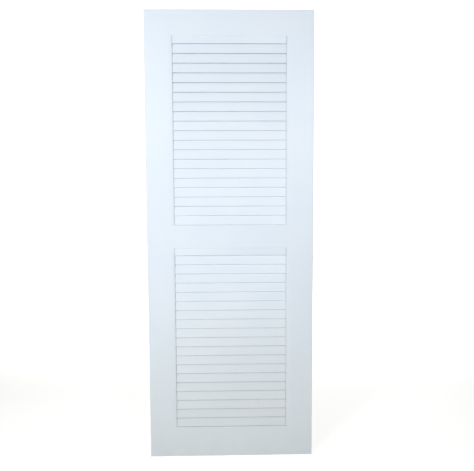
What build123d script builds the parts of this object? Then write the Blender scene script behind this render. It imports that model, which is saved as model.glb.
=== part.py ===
"""
Bathroom door leaf with two louvre panels, in white rigid PVC.

Two stiles and three rails, all hollow extrusions, make the frame. Beside each
opening the stiles end in a nose that is rounded off on both faces, while the
rails' edges are square. Flat slats fill the openings. They slope a little down
towards the front and overlap, so nobody sees in, and narrow gaps between them
let air through. The top one of each panel stands upright, in a groove in the rail
above it. The slats' ends sit in slots that are cut through the stiles' noses. A
plug closes each end of each stile.

Millimetres. X runs from the hinge edge to the latch edge, the front faces -Y,
and Z is up. The origin is in the middle of the hinge edge.
"""

import os
from math import asin, cos, degrees, sin

from build123d import *

# Leaf
leaf_width = 762.0
leaf_thickness = 30.0
arris_radius = 3.0

# Stiles and rails, as seen from the front
stile_width = 124.0
top_rail_height = 114.0
mid_rail_height = 107.0
bottom_rail_height = 142.0
nose_width = 20.0
nose_depth = 2.0
rail_edge_radius = 0.8
seam_chamfer = 0.5

# Walls of the hollow extrusions
wall = 2.5
web = 1.8
stile_chambers = 3
rail_chambers = 2

# Slats. The top one in each panel is lower, thicker and upright, and its seat is
# the part of it that sits in the rail above.
slats_per_panel = 20
slat_pitch = 42.8
slat_thickness = 4.5
slat_gap = 1.5
slat_overlap = 5.2
slat_edge_radius = 1.2
slat_setback = 3.0
slat_seat = 10.0
top_slat_height = 39.5
top_slat_thickness = 6.0
top_slat_setback = 1.5
top_slat_seat = 6.0
slot_clearance = 0.15
opening_clearance = 0.3

# End plugs
plug_plate = 3.0
plug_tongue = 12.0
plug_clearance = 0.1

# Worked out from the sizes above
top_slat_drop = top_slat_height - top_slat_seat
opening_height = opening_clearance + (slats_per_panel - 1) * slat_pitch + top_slat_drop
leaf_height = bottom_rail_height + mid_rail_height + top_rail_height + 2 * opening_height
foot = -leaf_height / 2
head = leaf_height / 2
lower_sill = foot + bottom_rail_height
upper_sill = head - top_rail_height - opening_height
half_thickness = leaf_thickness / 2
nose_half = half_thickness - nose_depth
flat_width = stile_width - nose_width
rail_length = leaf_width - 2 * flat_width
slat_tilt = asin((slat_thickness + slat_gap) / slat_pitch)
slat_height = slat_pitch + slat_overlap
core_thickness = slat_thickness - 2 * slat_edge_radius
core_width = (
    slat_height - 2 * slat_edge_radius - core_thickness * sin(slat_tilt)
) / cos(slat_tilt)
slat_width = core_width + 2 * slat_edge_radius
slat_depth = (
    core_width * sin(slat_tilt) + core_thickness * cos(slat_tilt) + 2 * slat_edge_radius
)
slat_middle = -half_thickness + slat_setback + slat_depth / 2
top_slat_middle = -half_thickness + top_slat_setback + top_slat_thickness / 2
slat_length = leaf_width - 2 * (stile_width - slat_seat)

# Planes to draw sections on, with the leaf's thickness along the first axis
stile_plane = Plane(origin=(0, 0, head), x_dir=(0, 1, 0), z_dir=(0, 0, -1))
rail_plane = Plane.YZ.offset(flat_width)
from_low = (Align.CENTER, Align.MIN)
from_left = (Align.MIN, Align.CENTER)

os.makedirs("parts", exist_ok=True)


def write(part, name):
    part.label = name
    export_step(part, f"parts/{name}.step")


def bar_outline(plane, low, high, nose=0.0):
    """A stile's or rail's outer section. A stile has a nose at its high side."""
    root = high - nose
    with BuildSketch(plane) as outline:
        with Locations((0, low)):
            Rectangle(leaf_thickness, root - low, align=from_low)
        if nose:
            with BuildLine():
                curve = TangentArc((half_thickness, root), (nose_half, high), tangent=(0, 1))
                Line(curve @ 1, (-nose_half, high))
                Line(curve @ 0, (-half_thickness, root))
                mirror(curve, about=Plane.YZ)
            make_face()
    return outline.sketch


def chamber_spans(low, high, count):
    """The spans of a number of chambers between low and high, with webs between them."""
    size = (high - low - (count - 1) * web) / count
    return [(low + i * (size + web), low + i * (size + web) + size) for i in range(count)]


def bar_chambers(plane, low, high, count, nose=0.0):
    """The chambers of a stile or rail, and the smaller one in a stile's nose."""
    root = high - nose
    with BuildSketch(plane) as chambers:
        for start, stop in chamber_spans(low + wall, root - wall, count):
            with Locations((0, start)):
                Rectangle(leaf_thickness - 2 * wall, stop - start, align=from_low)
        if nose:
            with BuildLine():
                Polyline(
                    (half_thickness - wall, root),
                    (nose_half - wall, high - wall),
                    (wall - nose_half, high - wall),
                    (wall - half_thickness, root),
                    close=True,
                )
            make_face()
    return chambers.sketch


def slat_sections(x, sill, margin=0.0):
    """The sections at x of the slats above a sill, with the upright one at the top."""
    middle = sill + opening_clearance + slat_height / 2
    sloping = [(slat_middle, middle + i * slat_pitch) for i in range(slats_per_panel - 1)]
    with BuildSketch(Plane.YZ.offset(x)) as sections:
        with Locations(sloping):
            RectangleRounded(
                slat_width + 2 * margin,
                slat_thickness + 2 * margin,
                slat_edge_radius + margin,
                rotation=90 - degrees(slat_tilt),
            )
        top_middle = sill + opening_height - top_slat_drop + top_slat_height / 2
        with Locations((top_slat_middle, top_middle)):
            RectangleRounded(
                top_slat_thickness + 2 * margin,
                top_slat_height + 2 * margin,
                slat_edge_radius + margin,
            )
    return sections.sketch


# The rails' places in the leaf, and the radii of their lower and upper long edges
rails = (
    ("bottom_rail", foot, lower_sill, arris_radius, rail_edge_radius),
    ("mid_rail", lower_sill + opening_height, upper_sill, rail_edge_radius, rail_edge_radius),
    ("top_rail", upper_sill + opening_height, head, rail_edge_radius, arris_radius),
)

# Hinge stile
with BuildPart() as hinge_stile:
    extrude(bar_outline(stile_plane, 0, stile_width, nose_width), amount=leaf_height)

    # Above and below the openings the rails take the nose's place
    with BuildSketch(Plane.XZ):
        for name, low, high, low_radius, high_radius in rails:
            with Locations((flat_width, low)):
                Rectangle(nose_width, high - low, align=Align.MIN)
    extrude(amount=half_thickness, both=True, mode=Mode.SUBTRACT)
    fillet(hinge_stile.edges().filter_by_position(Axis.X, 0, flat_width / 2), arris_radius)

    # Chambers, with their webs cut back at both ends for the plugs
    chambers = bar_chambers(stile_plane, 0, stile_width, stile_chambers, nose_width)
    extrude(chambers, amount=leaf_height, mode=Mode.SUBTRACT)
    with BuildSketch(Plane.XY.offset(foot), Plane.XY.offset(head - plug_plate)):
        with Locations((wall, 0)):
            Rectangle(flat_width - 2 * wall, leaf_thickness - 2 * wall, align=from_left)
    extrude(amount=plug_plate, mode=Mode.SUBTRACT)

    for sill in (lower_sill, upper_sill):
        slots = slat_sections(stile_width, sill, slot_clearance)
        extrude(slots, amount=-slat_seat - slot_clearance, mode=Mode.SUBTRACT)
write(hinge_stile.part, "hinge_stile")

# Latch stile
with BuildPart() as latch_stile:
    mirror(hinge_stile.part, about=Plane.YZ.offset(leaf_width / 2))
write(latch_stile.part, "latch_stile")

# Rails, between the flats of the stiles
for name, low, high, low_radius, high_radius in rails:
    with BuildPart() as rail:
        extrude(bar_outline(rail_plane, low, high), amount=rail_length)
        fillet(rail.edges().filter_by(Axis.X).group_by(Axis.Z)[0], low_radius)
        fillet(rail.edges().filter_by(Axis.X).group_by(Axis.Z)[-1], high_radius)
        ends = rail.faces().filter_by(Axis.X).group_by(Axis.X)
        chamfer((ends[0] + ends[-1]).edges().filter_by(Axis.Z), seam_chamfer)
        chambers = bar_chambers(rail_plane, low, high, rail_chambers)
        extrude(chambers, amount=rail_length, mode=Mode.SUBTRACT)

        # The groove for the top slat of the panel below
        if low > foot:
            groove_start = stile_width - slat_seat - slot_clearance
            groove = slat_sections(groove_start, low - opening_height, slot_clearance)
            extrude(groove, amount=slat_length + 2 * slot_clearance, mode=Mode.SUBTRACT)
    write(rail.part, name)

# Slats, numbered from each sill up
for panel, sill in (("lower", lower_sill), ("upper", upper_sill)):
    sections = slat_sections(stile_width - slat_seat, sill).faces().sort_by(Axis.Z)
    for number, section in enumerate(sections, 1):
        with BuildPart() as slat:
            extrude(section, amount=slat_length)
        write(slat.part, f"{panel}_slat_{number:02d}")

# End plugs: a plate flush with the stile's end, and a tongue into each chamber
with BuildPart() as end_plugs:
    plate_inset = wall + plug_clearance
    with BuildSketch(Plane.XY.offset(foot)):
        with Locations((plate_inset, 0)):
            Rectangle(
                flat_width - 2 * plate_inset, leaf_thickness - 2 * plate_inset, align=from_left
            )
    extrude(amount=plug_plate)
    with BuildSketch(Plane.XY.offset(foot + plug_plate)):
        for start, stop in chamber_spans(wall, flat_width - wall, stile_chambers):
            with Locations((start + plug_clearance, 0)):
                Rectangle(
                    stop - start - 2 * plug_clearance,
                    leaf_thickness - 2 * plate_inset,
                    align=from_left,
                )
    extrude(amount=plug_tongue)
    mirror(about=Plane.YZ.offset(leaf_width / 2))
    mirror(about=Plane.XY)
write(end_plugs.part, "end_plugs")
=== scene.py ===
from math import cos, pi, radians, sin

import bmesh
import bpy
from mathutils import Matrix, Vector, noise


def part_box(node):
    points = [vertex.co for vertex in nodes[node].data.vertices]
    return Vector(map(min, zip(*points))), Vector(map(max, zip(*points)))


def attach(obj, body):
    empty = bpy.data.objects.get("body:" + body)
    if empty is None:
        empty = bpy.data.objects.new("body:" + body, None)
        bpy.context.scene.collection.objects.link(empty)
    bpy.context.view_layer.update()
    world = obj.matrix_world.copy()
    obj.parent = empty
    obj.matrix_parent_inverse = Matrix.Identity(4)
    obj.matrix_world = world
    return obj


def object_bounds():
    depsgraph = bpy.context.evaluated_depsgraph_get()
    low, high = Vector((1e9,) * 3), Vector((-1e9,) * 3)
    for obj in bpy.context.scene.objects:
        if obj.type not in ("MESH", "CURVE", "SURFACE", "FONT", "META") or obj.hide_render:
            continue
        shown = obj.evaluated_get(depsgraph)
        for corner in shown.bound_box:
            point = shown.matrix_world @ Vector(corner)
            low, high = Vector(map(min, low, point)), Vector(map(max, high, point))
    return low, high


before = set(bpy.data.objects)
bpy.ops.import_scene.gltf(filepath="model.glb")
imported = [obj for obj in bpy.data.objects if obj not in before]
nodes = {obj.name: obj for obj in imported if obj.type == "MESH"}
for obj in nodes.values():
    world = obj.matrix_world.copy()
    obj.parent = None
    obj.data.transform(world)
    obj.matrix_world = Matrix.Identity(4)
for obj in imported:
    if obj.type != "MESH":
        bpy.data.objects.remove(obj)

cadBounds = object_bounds()
doorLow, doorHigh = cadBounds
footHeight, headHeight = doorLow.z, doorHigh.z
doorWidth, frontFace = doorHigh.x, doorLow.y


# Shader helpers

class Wire:  # one output of a node, so that shader maths reads as Python
    def __init__(self, shader, socket):
        self.shader, self.socket = shader, socket

    def out(self, name):  # another output of the same node
        return Wire(self.shader, self.socket.node.outputs[name])

    def maths(self, operation, *values):
        return self.shader.add(
            "ShaderNodeMath", {"operation": operation}, dict(enumerate(values)))

    def __add__(self, other): return self.maths("ADD", self, other)
    def __radd__(self, other): return self.maths("ADD", other, self)
    def __sub__(self, other): return self.maths("SUBTRACT", self, other)
    def __rsub__(self, other): return self.maths("SUBTRACT", other, self)
    def __mul__(self, other): return self.maths("MULTIPLY", self, other)
    def __rmul__(self, other): return self.maths("MULTIPLY", other, self)
    def __truediv__(self, other): return self.maths("DIVIDE", self, other)


class Shader:  # a material's or the world's node tree
    def __init__(self, owner):
        owner.use_nodes = True
        self.tree = owner.node_tree
        self.tree.nodes.clear()

    def add(self, kind, settings=None, sockets=None, output=0):
        node = self.tree.nodes.new(kind)
        for name, value in (settings or {}).items():
            setattr(node, name, value)
        for name, value in (sockets or {}).items():
            if isinstance(value, Wire):
                self.tree.links.new(value.socket, node.inputs[name])
            elif isinstance(value, tuple) and node.inputs[name].type == "RGBA":
                node.inputs[name].default_value = (*value[:3], 1.0)
            else:
                node.inputs[name].default_value = value
        return Wire(self, node.outputs[output]) if len(node.outputs) else None

    def noiseAt(self, place, size=1.0, detail=2.0, roughness=0.5, stretch=(1, 1, 1), seed=0.0):
        # soft noise from 0 to 1, about 0.5, its features about size metres across
        scaled = self.add("ShaderNodeMapping", None, {
            "Vector": place, "Location": (seed, 0.37 * seed, 0.71 * seed),
            "Scale": tuple(s / size for s in stretch)})
        return self.add("ShaderNodeTexNoise", None, {
            "Vector": scaled, "Scale": 1.0, "Detail": detail, "Roughness": roughness})

    def ease(self, value, start, stop):  # from 0 at start to 1 at stop, smoothly
        return self.add("ShaderNodeMapRange", {"interpolation_type": "SMOOTHSTEP"}, {
            "Value": value, "From Min": start, "From Max": stop})

    def blendColours(self, amount, first, second):
        return self.add(
            "ShaderNodeMix", {"data_type": "RGBA"}, {0: amount, 6: first, 7: second}, 2)

    def brighten(self, colour, gain):  # a colour times a grey value
        grey = self.add("ShaderNodeCombineXYZ", None, {0: gain, 1: gain, 2: gain})
        return self.add("ShaderNodeVectorMath", {"operation": "MULTIPLY"}, {0: colour, 1: grey})


# Vinyl of the frame, the slats and the plugs. Sizes are in metres. A span says where
# something starts to show and where it shows in full.

vinylIor = 1.53
facesFront = (0.0, -0.6)  # spans of the normal along Y, and below along Z
facesUp = (0.75, 0.95)
facesDown = (-0.5, -0.9)
stileVinyl = {
    "white": (0.800, 0.872, 0.940), "cool": (0.780, 0.862, 0.945),
    "cloudSize": 0.30, "cloudSpan": (0.35, 0.65),
    "warm": (0.800, 0.862, 0.862), "warmHeight": 0.95, "warmAmount": 0.60,
    "streakWidth": 0.0042, "streakStretch": 0.004, "streakTone": 0.016,
    "streakDepth": 0.000020, "waveSize": 0.11, "waveStretch": 0.06, "waveDepth": 0.00022,
    "grainSize": 0.0011, "grainDepth": 0.000016, "relief": 0.6,
    "roughness": 0.42, "cloudRoughness": 0.09, "grainRoughness": 0.10,
    "scuff": (0.50, 0.52, 0.53), "scuffSize": 0.035, "scuffStretch": 0.35,
    "scuffSpan": (0.64, 0.80), "scuffStreaks": (0.40, 0.62), "scuffAmount": 0.22,
    "scuffRoughness": 0.12, "dust": (0.60, 0.60, 0.55), "dustSize": 0.05,
    "dustStretch": 0.6, "dustSpan": (0.25, 0.75), "dustHeight": 0.22, "dustAmount": 0.14,
    "dustRoughness": 0.35,
    # a dark grey for painted shade, and for dust on the ledges, laid in patches
    "shadeAndGrime": (0.25, 0.26, 0.255), "shadeAndGrimeSpan": (0.2, 0.7), "shadeAndGrimePatches": 0.3,
    # amounts of dust and painted shade on the ledges, and of painted shade beside the slats
    "shadeAndGrimeRoughness": 0.25, "ledgeDustAndShade": 0.42, "headSpan": (0.001, 0.004),
    "seam": 0.1240, "seamReach": 0.0035, "seamShade": 0.28,
    "edgeSpan": (0.004, 0.001), "edgeTone": 0.008, "edgePolish": 0.07,
}
railVinyl = dict(stileVinyl, streakTone=0.014, waveSize=0.13)
slatVinyl = dict(
    stileVinyl, white=(0.806, 0.880, 0.948), roughness=0.40,
    streakWidth=0.0026, streakTone=0.014, streakDepth=0.000014,
    waveSize=0.16, waveDepth=0.00016,
    slatTilt=radians(8.06), slatStep=0.0060, firstFace=0.0069,  # steps square to the faces
    lowerSill=-0.8865, upperSill=0.0675, slatTone=0.012, upperNumber=40.0,
    # painted shade in the creases, under the lips and on the slat ends at the stiles
    creaseSpan=(-0.0073, -0.0064), lowCreaseShade=0.26, lowCreaseSpan=(-0.20, -0.85),
    highCreaseShade=0.11, highCreaseSpan=(0.40, 0.70),
    undersideShade=0.95, undersideDepth=(-0.002, -0.006), undersideSpan=(0.25, 0.70),
    undersideLeast=0.1, topSlatSpan=(18.5, 19.5), topSlatLessShade=0.75,
    seamReach=0.0045, seamShade=0.36, lipSpan=(-0.0111, -0.0118), lipPolish=0.08,
    # painted shade on the lower slats
    lowSlatShade=0.22, lowSlatShadeTop=0.10,
)
plugVinyl = {
    "white": (0.740, 0.800, 0.860), "cool": (0.715, 0.785, 0.860),
    "cloudSize": 0.03, "cloudSpan": (0.3, 0.7), "grainSize": 0.0006, "grainDepth": 0.000030,
    "flowSize": 0.012, "flowStretch": 0.25, "flowTone": 0.03, "relief": 0.7,
    "roughness": 0.55, "grainRoughness": 0.08, "dust": (0.52, 0.52, 0.49),
    "dustClouds": (0.45, 0.8), "dustGrain": (0.3, 0.7), "dustAmount": 0.25,
}


def inwards(limit, span):  # a span that is counted inwards from a limit
    return [limit - inset for inset in span]


def numberSlats(shader, look, y, z):
    # each slat's number, by its distance in front of its panel's lowest one, and its tone
    upper = z.maths("GREATER_THAN", z, 0.0)
    rise = z - look["lowerSill"] + upper * (look["lowerSill"] - look["upperSill"])
    level = rise * sin(look["slatTilt"]) - y * cos(look["slatTilt"]) - look["firstFace"]
    number = level.maths("FLOOR", level / look["slatStep"])
    tone = shader.add("ShaderNodeTexWhiteNoise", {"noise_dimensions": "1D"}, {
        "W": number + upper * look["upperNumber"]}, "Value")
    return number, tone


def slatPaintedShade(shader, look, number, side, seam, y, z, normalY, normalZ):
    # painted shade under the lips, in the creases just below them and on the slat ends at the
    # stiles
    underside = shader.ease(normalZ, *facesDown) * shader.ease(y, *look["undersideDepth"])
    topSlat = shader.ease(number, *look["topSlatSpan"])
    # the top slat gets less painted shade under its lip
    underside = underside * (1.0 - topSlat * look["topSlatLessShade"])
    least = look["undersideLeast"]
    # the painted shade under the lips is darker higher up
    underside = underside * (least + (1.0 - least) * shader.ease(z, *look["undersideSpan"]))
    crease = shader.ease(y, *look["creaseSpan"]) * shader.ease(normalY, *facesFront)
    # painted shade in the creases, growing towards the foot and towards the head
    creaseShade = shader.ease(z, *look["lowCreaseSpan"]) * look["lowCreaseShade"]
    creaseShade = creaseShade + shader.ease(z, *look["highCreaseSpan"]) * look["highCreaseShade"]
    # painted shade on the slat ends beside the stiles
    corner = shader.ease(side, seam - look["seamReach"], seam)
    return crease * creaseShade + underside * look["undersideShade"] + corner * look["seamShade"]


def frameShadeAndGrime(shader, look, along, side, seam, z, normalZ):
    # dust and painted shade on the ledges, but not on the head, and painted shade on the stiles
    # beside the slats
    belowHead = shader.ease(z, *inwards(headHeight, look["headSpan"]))
    shadeAndGrime = shader.ease(normalZ, *facesUp) * belowHead * look["ledgeDustAndShade"]
    if along == "Z":
        shadeAndGrime = shadeAndGrime + shader.ease(side, seam + look["seamReach"], seam) * look["seamShade"]
    return shadeAndGrime


def extrudedVinyl(name, look, along):
    material = bpy.data.materials.new(name)
    shader = Shader(material)
    place = shader.add("ShaderNodeTexCoord", output="Object")
    x = shader.add("ShaderNodeSeparateXYZ", None, {0: place}, "X")
    y, z = x.out("Y"), x.out("Z")
    side = x.maths("ABSOLUTE", x - doorWidth / 2)  # distance from the leaf's middle
    normalY = shader.add("ShaderNodeSeparateXYZ", None, {0: place.out("Normal")}, "Y")
    normalZ = normalY.out("Z")
    seam = doorWidth / 2 - look["seam"]  # where the slats meet the stiles

    def drawnOut(stretch):  # along the extrusion
        return (1, 1, stretch) if along == "Z" else (stretch, 1, 1)

    # die lines, a few millimetres wide and a metre long, in a soft cloud of tones
    cloud = shader.noiseAt(place, look["cloudSize"], roughness=0.55)
    streaks = shader.noiseAt(
        place, look["streakWidth"], detail=3.0, roughness=0.6,
        stretch=drawnOut(look["streakStretch"]), seed=4.0)
    wave = shader.noiseAt(
        place, look["waveSize"], detail=1.0, roughness=0.4,
        stretch=drawnOut(look["waveStretch"]), seed=9.0)
    grain = shader.noiseAt(place, look["grainSize"], roughness=0.6)
    body = shader.blendColours(
        shader.ease(cloud, *look["cloudSpan"]), look["white"], look["cool"])
    footTint = shader.ease(z, footHeight + look["warmHeight"], footHeight) * look["warmAmount"]
    body = shader.blendColours(footTint, body, look["warm"])  # less blue towards the foot
    gain = 1.0 - look["streakTone"] * 0.5 + streaks * look["streakTone"]
    height = (streaks * look["streakDepth"] + wave * look["waveDepth"]
              + grain * look["grainDepth"])
    roughness = (look["roughness"] + (cloud - 0.5) * look["cloudRoughness"]
                 + (grain - 0.5) * look["grainRoughness"])

    # dull scuffs, and dust that climbs from the foot
    scuffField = shader.noiseAt(
        place, look["scuffSize"], detail=4.0, roughness=0.62,
        stretch=(1, 1, look["scuffStretch"]), seed=17.0)
    scuffs = (shader.ease(scuffField, *look["scuffSpan"])
              * shader.ease(streaks, *look["scuffStreaks"]))
    lowDown = shader.ease(z, footHeight + look["dustHeight"], footHeight)
    dustField = shader.noiseAt(
        place, look["dustSize"], detail=4.0, roughness=0.6,
        stretch=(1, 1, look["dustStretch"]), seed=23.0)
    dust = (lowDown * lowDown * shader.ease(dustField, *look["dustSpan"])
            * look["dustAmount"])

    if "slatStep" in look:
        number, tone = numberSlats(shader, look, y, z)
        gain = gain - look["slatTone"] * 0.5 + tone * look["slatTone"]
        roughness = roughness - shader.ease(y, *look["lipSpan"]) * look["lipPolish"]
        # painted shade that darkens the slats towards the foot, drawn in the dust colour
        dust = dust + shader.ease(z, look["lowSlatShadeTop"], footHeight) * look["lowSlatShade"]
        shadeAndGrime = slatPaintedShade(shader, look, number, side, seam, y, z, normalY, normalZ)
    else:
        edge = shader.ease(side, *inwards(doorWidth / 2, look["edgeSpan"]))
        gain = gain + edge * look["edgeTone"]  # rubbed outer edges
        roughness = roughness - edge * look["edgePolish"]
        shadeAndGrime = frameShadeAndGrime(shader, look, along, side, seam, z, normalZ)
    # the painted shade, and the dust on the ledges, in patches
    patches = look["shadeAndGrimePatches"]
    shadeAndGrime = shadeAndGrime * (1.0 - patches + shader.ease(dustField, *look["shadeAndGrimeSpan"]) * patches)

    colour = shader.brighten(body, gain)
    colour = shader.blendColours(scuffs * look["scuffAmount"], colour, look["scuff"])
    colour = shader.blendColours(dust, colour, look["dust"])
    # the dark grey of the painted shade and of the ledge dust
    colour = shader.blendColours(shadeAndGrime, colour, look["shadeAndGrime"])
    roughness = (roughness + scuffs * look["scuffRoughness"] + dust * look["dustRoughness"]
                 + shadeAndGrime * look["shadeAndGrimeRoughness"])
    normal = shader.add("ShaderNodeBump", None, {
        "Strength": look["relief"], "Distance": 1.0, "Height": height})
    surface = shader.add("ShaderNodeBsdfPrincipled", None, {
        "Base Color": colour, "Roughness": roughness, "IOR": vinylIor, "Normal": normal})
    shader.add("ShaderNodeOutputMaterial", None, {"Surface": surface})
    return material


def mouldedVinyl(name, look):
    material = bpy.data.materials.new(name)
    shader = Shader(material)
    place = shader.add("ShaderNodeTexCoord", output="Object")
    cloud = shader.noiseAt(place, look["cloudSize"])
    flow = shader.noiseAt(
        place, look["flowSize"], detail=3.0, roughness=0.6,
        stretch=(look["flowStretch"], 1, 1), seed=3.0)
    grain = shader.noiseAt(place, look["grainSize"], roughness=0.7)
    body = shader.blendColours(
        shader.ease(cloud, *look["cloudSpan"]), look["white"], look["cool"])
    colour = shader.brighten(body, 1.0 - look["flowTone"] * 0.5 + flow * look["flowTone"])
    dust = (shader.ease(cloud, *look["dustClouds"]) * shader.ease(grain, *look["dustGrain"])
            * look["dustAmount"])
    colour = shader.blendColours(dust, colour, look["dust"])
    roughness = look["roughness"] + (grain - 0.5) * look["grainRoughness"]
    normal = shader.add("ShaderNodeBump", None, {
        "Strength": look["relief"], "Distance": 1.0, "Height": grain * look["grainDepth"]})
    surface = shader.add("ShaderNodeBsdfPrincipled", None, {
        "Base Color": colour, "Roughness": roughness, "IOR": vinylIor, "Normal": normal})
    shader.add("ShaderNodeOutputMaterial", None, {"Surface": surface})
    return material


uprightFinish = extrudedVinyl("uprightVinyl", stileVinyl, "Z")
crossFinish = extrudedVinyl("crossVinyl", railVinyl, "X")
slatFinish = extrudedVinyl("slatVinyl", slatVinyl, "X")
plugFinish = mouldedVinyl("plugVinyl", plugVinyl)

for name, part in nodes.items():
    if name.endswith("stile"):
        finish = uprightFinish
    elif name.endswith("rail"):
        finish = crossFinish
    elif name == "end_plugs":
        finish = plugFinish
    else:
        finish = slatFinish
    for slotNumber in range(len(part.material_slots)):
        part.material_slots[slotNumber].material = finish
print("finishes on", len(nodes), "parts")


# Weld beads in the seams between the rails and the stiles

weldBead = {
    "halfWidth": 0.00036, "halfHeight": 0.00020, "inset": 0.00014, "sunk": 0.00003,
    "innerEnd": 0.0016, "outerEnd": 0.0032, "endWidth": 0.45, "facets": 10,
    "stepLength": 0.006, "unevenness": 0.16, "seedX": 50, "seedY": 90, "waverPace": 0.7,
    "sharpAngle": radians(50),
    "white": (0.83, 0.885, 0.94), "roughness": 0.28, "leastTone": 0.97, "relief": 0.5,
    "rippleSize": 0.0012, "rippleTone": 0.05, "rippleDepth": 0.00004, "rippleRoughness": 0.15,
}


def beadFinish(look):
    material = bpy.data.materials.new("beadVinyl")
    shader = Shader(material)
    place = shader.add("ShaderNodeTexCoord", output="Object")
    ripple = shader.noiseAt(place, look["rippleSize"], detail=3.0, roughness=0.6)
    colour = shader.brighten(look["white"], look["leastTone"] + ripple * look["rippleTone"])
    roughness = look["roughness"] + ripple * look["rippleRoughness"]
    normal = shader.add("ShaderNodeBump", None, {
        "Strength": look["relief"], "Distance": 1.0, "Height": ripple * look["rippleDepth"]})
    surface = shader.add("ShaderNodeBsdfPrincipled", None, {
        "Base Color": colour, "Roughness": roughness, "IOR": vinylIor, "Normal": normal})
    shader.add("ShaderNodeOutputMaterial", None, {"Surface": surface})
    return material


def runBead(bm, x, y, low, high, look):
    # a small oval drawn up one seam in steps, uneven as a hand-held gun leaves it
    steps = max(2, round((high - low) / look["stepLength"]))
    ring = bmesh.ops.create_circle(
        bm, cap_ends=True, segments=look["facets"], radius=1.0)["verts"]
    bmesh.ops.scale(bm, verts=ring, vec=(
        look["halfWidth"] * look["endWidth"], look["halfHeight"] * look["endWidth"], 1.0))
    bmesh.ops.translate(bm, verts=ring, vec=(x, y, low))
    cap = [f for f in bm.faces if all(v in ring for v in f.verts)]
    before = look["endWidth"]
    for step in range(steps):
        grown = bmesh.ops.extrude_face_region(bm, geom=cap)["geom"]
        if step:  # the first cap stays, to close the foot
            bmesh.ops.delete(bm, geom=cap, context="FACES_ONLY")
        cap = [g for g in grown if isinstance(g, bmesh.types.BMFace)]
        ring = [g for g in grown if isinstance(g, bmesh.types.BMVert)]
        spot = Vector((x * look["seedX"], y * look["seedY"], step * look["waverPace"]))
        waver = 0.5 + 0.5 * noise.noise(spot)
        swell = look["endWidth"] if step == steps - 1 else 1.0 - look["unevenness"] * waver
        bmesh.ops.scale(bm, verts=ring, vec=(swell / before, swell / before, 1.0),
                        space=Matrix.Translation((-x, -y, 0)))
        bmesh.ops.translate(bm, verts=ring, vec=(0, 0, (high - low) / steps))
        before = swell


def weldBeads(look):
    bm = bmesh.new()
    for rail in ("bottom_rail", "mid_rail", "top_rail"):
        low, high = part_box(rail)
        bottom = low.z + (look["outerEnd"] if rail == "bottom_rail" else look["innerEnd"])
        top = high.z - (look["outerEnd"] if rail == "top_rail" else look["innerEnd"])
        for seam, inward in ((low.x, 1), (high.x, -1)):
            for face in (-1, 1):
                x = seam + inward * look["inset"]
                y = face * (-frontFace - look["halfHeight"] - look["sunk"])
                runBead(bm, x, y, bottom, top, look)
    bmesh.ops.recalc_face_normals(bm, faces=bm.faces[:])
    mesh = bpy.data.meshes.new("weldBeads")
    bm.to_mesh(mesh)
    bm.free()
    mesh.shade_smooth()
    mesh.set_sharp_from_angle(angle=look["sharpAngle"])
    beads = bpy.data.objects.new("weldBeads", mesh)
    bpy.context.scene.collection.objects.link(beads)
    mesh.materials.append(beadFinish(look))
    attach(beads, "root")
    return beads


beads = weldBeads(weldBead)
print("weld beads,", len(beads.data.polygons), "faces")


# Floor, backdrop and light

stageLook = {
    "bounce": (0.46, 0.45, 0.43), "mottleSize": 0.4, "mottle": 0.04, "paper": (0.9, 0.9, 0.9),
    "seenFloor": 0.47, "seenWall": 0.84, "glowSpan": (0.7, 2.2),
    "reach": 7.0, "wall": 3.6, "wallHeight": 4.5, "cove": 1.2, "coveSteps": 24,
    "worldLevel": 0.26, "worldColour": (1.0, 0.97, 0.86),
}
lamps = {  # squares of the given size, in metres
    "leftLamp": {
        "at": (-1.00, -2.20, 1.00), "aim": (0.38, 0, 0.10), "size": 0.8, "watts": 29.6,
        "colour": (0.93, 0.955, 1.0)},
    "lowLamp": {
        "at": (-0.30, -2.60, -0.50), "aim": (0.38, 0, 0.10), "size": 0.8, "watts": 11.2,
        "colour": (0.97, 0.97, 1.0)},
    "rightLamp": {
        "at": (1.10, -2.60, 0.30), "aim": (0.38, 0, 0.10), "size": 0.8, "watts": 9.7,
        "colour": (0.90, 0.95, 1.0)},
    "rightHighLamp": {
        "at": (1.10, -2.20, 1.00), "aim": (0.38, 0, 0.10), "size": 0.8, "watts": 9.8,
        "colour": (0.93, 0.94, 1.0)},
    "backLamp": {
        "at": (0.95, 2.60, 1.10), "aim": (0.38, 0, 0.00), "size": 1.5, "watts": 34.0,
        "colour": (0.97, 0.98, 1.0)},
}


def seenDirectly(shader):  # 1 for what the camera, a mirror or glass sees, 0 for bounced light
    camera = shader.add("ShaderNodeLightPath", output="Is Camera Ray")
    both = camera.maths("MAXIMUM", camera, camera.out("Is Glossy Ray"))
    return both.maths("MAXIMUM", both, camera.out("Is Transmission Ray"))


def studioPaper(look):
    material = bpy.data.materials.new("studioPaper")
    shader = Shader(material)
    place = shader.add("ShaderNodeTexCoord", output="Object")
    mottle = shader.noiseAt(place, look["mottleSize"], detail=3.0)
    tone = 1.0 - look["mottle"] * 0.5 + mottle * look["mottle"]
    bounced = shader.add(
        "ShaderNodeBsdfDiffuse", None, {"Color": shader.brighten(look["bounce"], tone)})

    # the floor near the door glows less, so that it keeps the door's shadow
    lit = shader.add("ShaderNodeBsdfDiffuse", None, {"Color": look["paper"]})
    near = shader.add("ShaderNodeEmission", None, {"Strength": look["seenFloor"]})
    far = shader.add("ShaderNodeEmission", None, {"Strength": look["seenWall"]})
    depth = shader.add("ShaderNodeSeparateXYZ", None, {0: place}, "Y")
    glow = shader.add("ShaderNodeMixShader", None, {
        0: shader.ease(depth, *look["glowSpan"]), 1: near, 2: far})
    seen = shader.add("ShaderNodeAddShader", None, {0: lit, 1: glow})
    surface = shader.add("ShaderNodeMixShader", None, {
        0: seenDirectly(shader), 1: bounced, 2: seen})
    shader.add("ShaderNodeOutputMaterial", None, {"Surface": surface})
    return material


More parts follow.
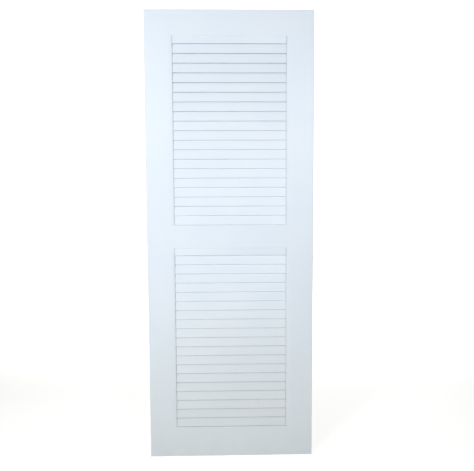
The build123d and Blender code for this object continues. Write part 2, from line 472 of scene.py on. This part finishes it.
def buildStage(look):
    # a floor that rises into a wall behind the door in one sweep
    bm = bmesh.new()
    bmesh.ops.create_grid(bm, x_segments=1, y_segments=1, size=look["reach"])
    for v in bm.verts:
        v.co.y = min(v.co.y, look["wall"])
        v.co.z = footHeight
    nearlyWall = look["wall"] - 0.01
    far = [e for e in bm.edges if all(v.co.y > nearlyWall for v in e.verts)]
    wall = bmesh.ops.extrude_edge_only(bm, edges=far)["geom"]
    risen = [g for g in wall if isinstance(g, bmesh.types.BMVert)]
    bmesh.ops.translate(bm, verts=risen, vec=(0, 0, look["wallHeight"]))
    bmesh.ops.bevel(bm, geom=far, offset=look["cove"], segments=look["coveSteps"],
                    profile=0.5, affect="EDGES", material=-1)
    bmesh.ops.recalc_face_normals(bm, faces=bm.faces[:])
    if sum(f.normal.z for f in bm.faces) < 0:
        bmesh.ops.reverse_faces(bm, faces=bm.faces[:])
    mesh = bpy.data.meshes.new("studioSweep")
    bm.to_mesh(mesh)
    bm.free()
    mesh.shade_smooth()
    sweep = bpy.data.objects.new("studioSweep", mesh)
    bpy.context.scene.collection.objects.link(sweep)
    mesh.materials.append(studioPaper(look))

    world = bpy.data.worlds.new("studioAir")
    bpy.context.scene.world = world
    shader = Shader(world)
    air = shader.add("ShaderNodeBackground", None, {
        "Color": look["worldColour"], "Strength": look["worldLevel"]})
    white = shader.add(
        "ShaderNodeBackground", None, {"Color": (1.0, 1.0, 1.0), "Strength": 1.0})
    mixed = shader.add("ShaderNodeMixShader", None, {
        0: seenDirectly(shader), 1: air, 2: white})
    shader.add("ShaderNodeOutputWorld", None, {"Surface": mixed})


def hangLamps(lamps):
    for name, lamp in lamps.items():
        light = bpy.data.lights.new(name, "AREA")
        light.energy, light.size, light.color = lamp["watts"], lamp["size"], lamp["colour"]
        stand = bpy.data.objects.new(name, light)
        bpy.context.scene.collection.objects.link(stand)
        stand.location = lamp["at"]
        aim = Vector(lamp["aim"]) - Vector(lamp["at"])
        stand.rotation_euler = aim.to_track_quat("-Z", "Y").to_euler()


buildStage(stageLook)
hangLamps(lamps)
print("stage and", len(lamps), "lamps")


# Camera

view = {  # degrees, and a lens of 500 pixels on a picture that is 474 wide
    "at": (0.3633, -2.3083, 0.1854), "turn": -1.2002, "tilt": 4.1558, "roll": -0.2648,
    "sensor": 36.0, "lens": 36.0 * 500.0 / 474.0,
}


def placeCamera(look):
    camera = bpy.data.cameras.new("frontCamera")
    camera.sensor_fit, camera.sensor_width = "HORIZONTAL", look["sensor"]
    camera.lens = look["lens"]
    turn, tilt, roll = (radians(look[k]) for k in ("turn", "tilt", "roll"))
    facing = Matrix.Rotation(turn, 3, "Z") @ Matrix.Rotation(pi / 2 - tilt, 3, "X")
    stand = bpy.data.objects.new("frontCamera", camera)
    bpy.context.scene.collection.objects.link(stand)
    stand.matrix_world = Matrix.Translation(look["at"]) @ (
        facing @ Matrix.Rotation(roll, 3, "Z")).to_4x4()
    bpy.context.scene.camera = stand


placeCamera(view)
bpy.context.scene.view_settings.view_transform = "Standard"
print("camera set")
